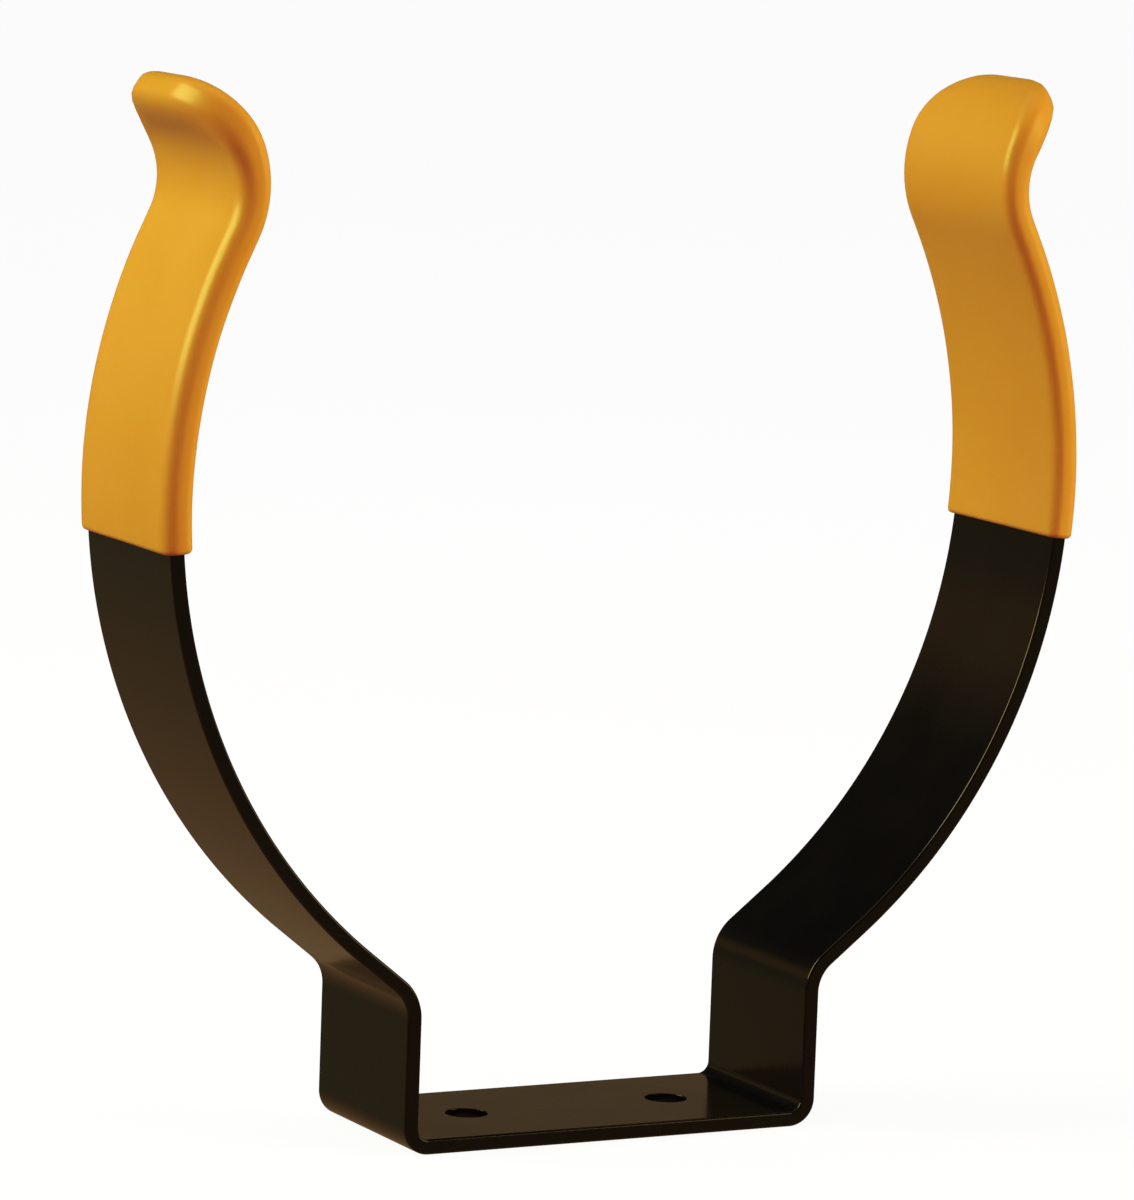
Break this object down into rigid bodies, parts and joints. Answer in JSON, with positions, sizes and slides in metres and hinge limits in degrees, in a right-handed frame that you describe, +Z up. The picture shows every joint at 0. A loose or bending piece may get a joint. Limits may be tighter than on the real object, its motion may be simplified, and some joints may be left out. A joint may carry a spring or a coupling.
{
  "type": "padded cradle bracket",
  "caption": "Bent flat-bar cradle with a flat bolt-down base, two upswept arms and soft vinyl grips on their outward-curled tips, for holding a long or round article.",
  "frame": {"origin": "middle of the underside of the flat base, between the two bolt holes", "axes": "+Z up from the base towards the open mouth, +X across from the left arm to the right arm, +Y along the width of the bar from its front edge to its rear edge"},
  "size_m": [0.2282, 0.0484, 0.2374],
  "materials": {
    "black_powder_coat": "semi-gloss black powder coat on steel flat bar",
    "yellow_vinyl": "satin flexible vinyl, golden yellow"
  },
  "bodies": {
    "root": {"bent_strap": "black_powder_coat", "left_grip": "yellow_vinyl", "right_grip": "yellow_vinyl"}
  },
  "joints": []
}
